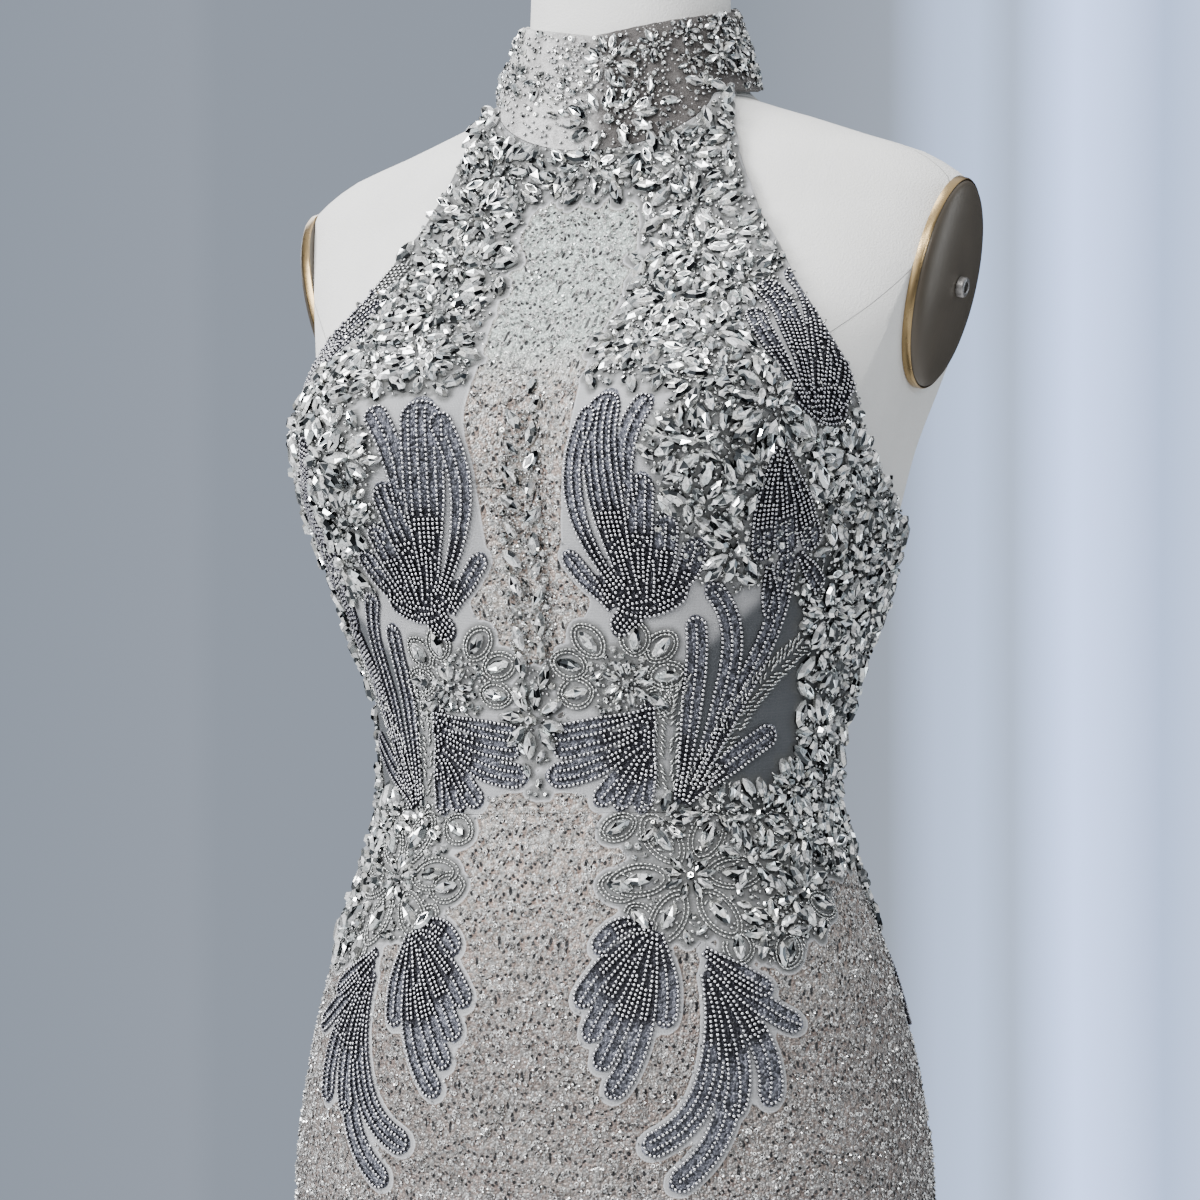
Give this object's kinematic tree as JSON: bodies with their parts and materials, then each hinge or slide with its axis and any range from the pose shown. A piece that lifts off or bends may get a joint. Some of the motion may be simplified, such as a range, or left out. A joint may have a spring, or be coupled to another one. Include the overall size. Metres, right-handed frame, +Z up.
{
  "type": "evening gown on dress form",
  "caption": "Halter evening gown with beaded stand collar, open back and flared floor-length skirt, on a limbless dress form with a pole stand.",
  "frame": {"origin": "on the floor, under the axis of the stand's pole", "axes": "+Z up, -Y the gown's front, +X the wearer's left side"},
  "size_m": [0.7274, 0.7494, 1.58],
  "materials": {
    "bodice_net": "nude net lined, covered with grey beads and clear crystals",
    "skirt_net": "nude net lined, covered with small bead loops and sequins",
    "collar_net": "net covered with clear crystals",
    "zip_tape": "matt woven tape",
    "form_cover": "matt off-white fine weave",
    "plate_bronze": "satin bronze brown with a brass rim",
    "screw_chrome": "bright",
    "stand_iron": "satin black"
  },
  "bodies": {
    "root": {"bodice_front": "bodice_net", "bodice_back_left": "bodice_net", "bodice_back_right": "bodice_net", "skirt_front": "skirt_net", "skirt_back_left": "skirt_net", "skirt_back_right": "skirt_net", "collar": "collar_net", "zip": "zip_tape", "form_torso": "form_cover", "arm_plate_left": "plate_bronze", "arm_plate_right": "plate_bronze", "arm_plate_screw_left": "screw_chrome", "arm_plate_screw_right": "screw_chrome", "stand_pole": "stand_iron", "stand_base": "stand_iron"}
  },
  "joints": []
}
